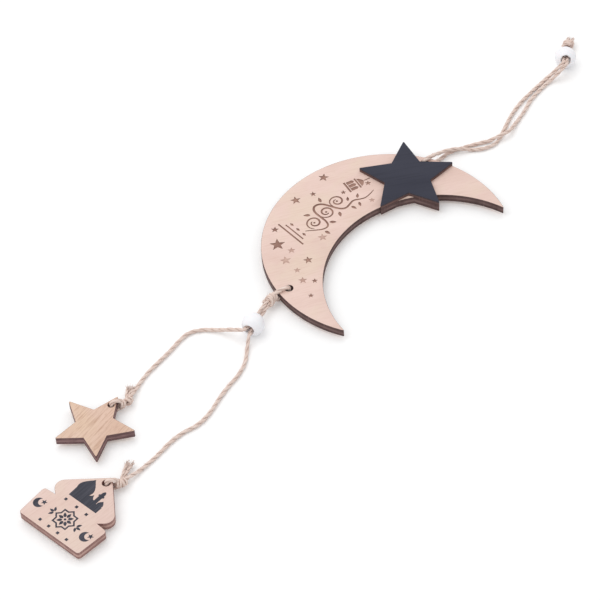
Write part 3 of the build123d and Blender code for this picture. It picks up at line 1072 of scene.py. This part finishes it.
def rim_ring(name, seed, hole, bearing, rim, knot, knot_height):
    """Twine through a hole and tight round the rim, on to a knot, with a collar outside the rim."""
    profile = [
        (knot, knot_height + 0.4), (rim + 1.4, knot_height + 1.5), (rim + 1.0, ring_top - 0.4),
        (0.85 * rim, ring_top), (0.9, ring_top), (0.1, ring_top - 0.4),
        (0, plate_top - 0.8), (0, plate_bottom + 0.8),
        (0.1, under_plate + 0.3), (0.9, under_plate), (0.85 * rim, under_plate),
        (rim + 0.9, under_plate + 0.1), (rim + 1.4, knot_height - 0.9), (knot, knot_height - 0.3),
    ]
    strands = Strands(seed)
    strands.ring([spot(hole, out, bearing, level) for out, level in profile])
    collar_start = spot(hole, rim + 0.8, bearing, knot_height + 0.2)
    strands.wraps(collar_start, slope(bearing, 0), length=1.5, turns=2, radius=1.08,
                  diameter=small_wrap_diameter, phase=200)
    piece = strands.make(name, None)
    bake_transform(piece)


knot_face = lower_bead_center - lower_bead_axis * (bead_radius + 7.5)
rim_ring("lower_ring_twine", 51, lower_hole, 205.0, rim=4.12, knot=7.2, knot_height=3.0)
lower_hitch = Strands(55)
lower_hitch.wraps(knot_face + lower_bead_axis * 0.2, -lower_bead_axis, length=3.1, turns=3,
                  radius=1.35, diameter=hitch_wrap_diameter, phase=120)
lower_hitch.make("lower_hitch_twine", "lower_cords", "lower_hitch")

lower_bead_heading = 241.5
lower_bead_tilt = 4.0
beside_bead = slope(lower_bead_heading - 90, 0)
above_bead = slope(lower_bead_heading, lower_bead_tilt + 90)
pair_side = strand_offset * unit(beside_bead + above_bead)
inside_knot = lower_bead_center - lower_bead_axis * (bead_radius + 9.0)
star_mouth = lower_bead_center + lower_bead_axis * (bead_radius + 0.3)
tag_mouth = lower_bead_center + lower_bead_axis * bead_radius

small_knot_length = 3.0
small_knot_height = 2.2
knot_lead_length = 2.0


def knot_entry(center, heading, before):
    """Point at a distance before a pendant's knot, on the string that enters it."""
    return spot(center, -small_knot_length / 2 - before, heading, small_knot_height)


def pendant_string(name, route, nodes, seed):
    """String from the lower hitch to a pendant."""
    for piece in free_cord(name, route, None, nodes, seed):
        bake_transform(piece)


star_ring_bearing = 24.8
star_knot_center = polar(star_hole, 6.0, star_ring_bearing)
star_knot_heading = 246.0
star_knot_start = knot_entry(star_knot_center, star_knot_heading, 0)
star_route = [
    inside_knot + 0.5 * pair_side,
    knot_face + 0.8 * pair_side,
    star_mouth + 0.9 * pair_side,
    *moved(lower_hole, [
        (-18.4, -17.8, 4.3), (-21.8, -15.9, 2.5), (-26.2, -14.0, floor), (-30.9, -13.4, floor),
        (-35.4, -14.4, floor), (-38.7, -18.0, floor), (-41.8, -22.4, floor), (-45.8, -27.0, floor),
        (-49.3, -31.2, floor), (-52.1, -35.6, floor), (-53.7, -39.2, 1.2),
    ]),
    knot_entry(star_knot_center, star_knot_heading, knot_lead_length),
    star_knot_start,
]
tag_ring_bearing = 12.0
tag_knot_center = polar(tag_hole, 4.9, tag_ring_bearing)
tag_knot_heading = 228.0
tag_knot_start = knot_entry(tag_knot_center, tag_knot_heading, 0)
tag_route = [
    inside_knot - 0.5 * pair_side,
    knot_face - 0.8 * pair_side,
    tag_mouth - 0.9 * pair_side,
    *moved(lower_hole, [
        (-15.2, -22.0, 1.7), (-15.7, -24.9, floor), (-16.3, -30.0, floor), (-18.8, -35.2, floor),
        (-22.8, -40.4, floor), (-26.2, -46.0, floor), (-29.0, -51.4, floor), (-33.0, -56.2, floor),
        (-38.0, -58.8, floor), (-42.2, -62.4, floor), (-46.4, -67.7, floor), (-50.6, -72.1, floor),
        (-53.6, -75.2, 1.2),
    ]),
    knot_entry(tag_knot_center, tag_knot_heading, knot_lead_length),
    tag_knot_start,
]
pendant_string("star_string", star_route, ["star_leg", "star_cord"], seed=61)
pendant_string("tag_string", tag_route, ["tag_leg", "tag_cord"], seed=71)


# Knots on the small star and on the tag, each with a tail whose two plies open towards its end
tail_gaps = (0.25, 0.4, 0.62, 0.9)
tail_diameter = 1.05


def pendant_knot(name, seed, node, body, start, heading, tail):
    """Knot at a pendant's rim and its frayed tail."""
    knot = Strands(seed)
    way = slope(heading, 0)
    knot.wraps(start + way * 0.1, way, length=2.1, turns=2, radius=1.0,
               diameter=small_wrap_diameter, phase=60)
    tail_way = unit(np.subtract(tail[-1], tail[0]))
    across = np.cross((0, 0, 1), tail_way)
    for side in (-1, 1):
        opened = [np.array(point) + side * gap * across for point, gap in zip(tail, tail_gaps)]
        tail_line = spline_line(opened, 8)
        knot.twine(tail_line, tail_diameter)
        knot.fuzz(tail_line, tail_diameter, tail_fuzz)
        end_way = unit(tail_line[-1] - tail_line[-2])
        knot.fray(tail_line[-1], end_way, count=40, length=1.5, opening=0.26)
    between = np.mean(tail[-2:], axis=0) - 0.3 * np.subtract(tail[-1], tail[-2])
    knot.fray(between, tail_way, count=60, length=3.0, opening=0.14)
    knot.make(name, body, node)


rim_ring("star_ring_twine", 81, star_hole, star_ring_bearing, rim=2.2, knot=5.0,
         knot_height=small_knot_height)
rim_ring("tag_ring_twine", 91, tag_hole, tag_ring_bearing, rim=2.17, knot=4.1,
         knot_height=small_knot_height)
star_tail = moved(star_knot_center, [
    (-0.2, 0.5, small_knot_height), (0.0, 2.2, 2.4), (0.3, 4.0, 2.1), (0.8, 5.9, 1.8),
])
tag_tail = moved(tag_knot_center, [
    (-0.1, 0.4, small_knot_height), (0.7, 3.2, 2.0), (1.5, 5.8, 1.8), (2.5, 8.2, 1.6),
])
pendant_knot("star_knot_twine", 85, "star_knot", "star_string", star_knot_start, star_knot_heading, star_tail)
pendant_knot("tag_knot_twine", 95, "tag_knot", "tag_string", tag_knot_start, tag_knot_heading, tag_tail)

# Floor, light and background
white = (1, 1, 1, 1)
floor_reach = 20000
floor_level = -0.03
floor_color = (0.93, 0.93, 0.93, 1)
floor_glow = 0.12
floor_material, floor_tree, floor_surface = material("floor", roughness=0.9, specular=0.1)
floor_surface.inputs["Base Color"].default_value = floor_color
seen = add(floor_tree, "LightPath", {}).outputs["Is Camera Ray"]
plug(floor_tree, floor_surface.inputs["Emission Strength"], product(floor_tree, seen, floor_glow))
floor_surface.inputs["Emission Color"].default_value = white
corners = [(x * floor_reach, y * floor_reach, floor_level) for x, y in ((-1, -1), (1, -1), (1, 1), (-1, 1))]
table = mesh_object("table", corners, [[0, 1, 2, 3]], floor_material, False)

world = bpy.data.worlds.new("studio")
world.use_nodes = True
scene.world = world
sky_tree = world.node_tree
background = sky_tree.nodes["Background"]
background.inputs["Color"].default_value = white
sky_strength = 0.75
seen_sky_strength = 1.0
rays = add(sky_tree, "LightPath", {}).outputs
direct = rays["Is Camera Ray"]
for kind in ("Is Glossy Ray", "Is Transmission Ray"):
    direct = add(sky_tree, "Math", {0: direct, 1: rays[kind]}, operation="MAXIMUM").outputs[0]
sky = spread(sky_tree, direct, 0, 1, sky_strength, seen_sky_strength)
plug(sky_tree, background.inputs["Strength"], sky)

# The softbox stands behind the ornament to the left and faces its middle; metres and watts
softbox_place = Vector((-0.35, 0.25, 1.1))
lamp = shown("softbox", bpy.data.lights.new("softbox", "AREA"))
lamp.data.shape = "RECTANGLE"
lamp.data.size = 1.4
lamp.data.size_y = 1.0
lamp.data.energy = 5.5
lamp.location = softbox_place
lamp.rotation_euler = (-softbox_place).to_track_quat("-Z", "Y").to_euler()

scene.view_settings.view_transform = "Standard"
